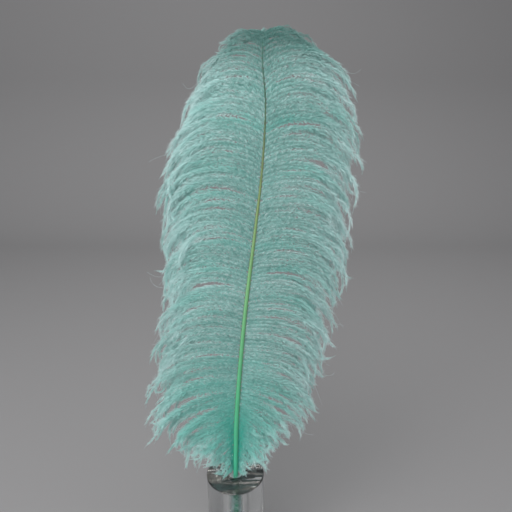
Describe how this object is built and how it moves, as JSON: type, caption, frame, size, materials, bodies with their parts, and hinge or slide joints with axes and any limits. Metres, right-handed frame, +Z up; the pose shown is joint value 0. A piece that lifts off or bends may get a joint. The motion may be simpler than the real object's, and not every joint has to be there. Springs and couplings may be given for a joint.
{
  "type": "ostrich feather",
  "caption": "Dyed ostrich plume with long drooping barbs, standing upright in the round bore of a heavy clear glass cylinder vase.",
  "frame": {"origin": "centre of the vase's flat base, on the surface it stands on", "axes": "+Z up along the vase; the feather's smooth outer face looks along -Y, and its tip nods to +Y"},
  "size_m": [0.2148, 0.1033, 0.5947],
  "materials": {
    "clear_glass": "gloss",
    "green_shaft": "satin",
    "mint_barbs": "matte"
  },
  "bodies": {
    "root": {"vase": "clear_glass", "shaft": "green_shaft", "vane_left": "mint_barbs", "vane_right": "mint_barbs"}
  },
  "joints": []
}
